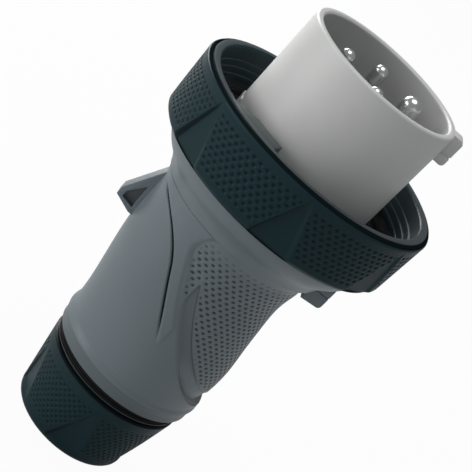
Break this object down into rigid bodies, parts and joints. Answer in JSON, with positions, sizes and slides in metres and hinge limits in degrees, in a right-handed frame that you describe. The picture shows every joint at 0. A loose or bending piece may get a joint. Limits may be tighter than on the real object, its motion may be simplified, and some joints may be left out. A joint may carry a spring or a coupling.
{
  "type": "industrial plug",
  "caption": "Round pin-and-sleeve industrial plug with guide key, bayonet locking ring, textured grip housing and screwed cable gland.",
  "frame": {"origin": "on the main axis, on the surface that the gland nut stands on", "axes": "+Z along the main axis to the plug's mouth, +X to the guide key and earth pin, -X to the lug"},
  "size_m": [0.0922, 0.0922, 0.165],
  "materials": {
    "housing": "satin moulded, fine grain",
    "dark": "satin moulded, dark blue-green grey",
    "sleeve": "satin moulded, light grey",
    "rubber": "matt black",
    "carrier": "matt glass-filled moulding",
    "gland_white": "matt",
    "washer": "satin",
    "pin_metal": "nickel plate, bright",
    "screw_metal": "zinc plate"
  },
  "bodies": {
    "plug_body": {"rear_housing": "housing", "front_collar": "housing", "sleeve": "sleeve", "gland_gasket": "rubber", "cable_grommet": "rubber", "spigot_seal": "rubber", "flange_seal": "rubber", "mouth_seal": "rubber", "contact_block": "carrier", "pin_retainer": "carrier", "slip_washer": "gland_white", "clamp_cage": "gland_white", "gland_washer": "washer", "pin_earth": "pin_metal", "pin_l1": "pin_metal", "pin_l2": "pin_metal", "pin_l3": "pin_metal", "terminal_screws": "screw_metal", "carrier_screws": "screw_metal"},
    "ring_body": {"locking_ring": "dark"},
    "nut_body": {"gland_nut": "dark"}
  },
  "joints": [
    {"name": "ring_turn", "type": "hinge", "parent": "plug_body", "child": "ring_body", "pos_m": [0, 0, 0.122], "axis": [0, 0, 1], "range_deg": [0, 45]},
    {"name": "nut_turn", "type": "hinge", "parent": "plug_body", "child": "nut_body", "pos_m": [0.0034, 0, 0.014], "axis": [0, 0, 1], "range_deg": [-360, 0]}
  ]
}
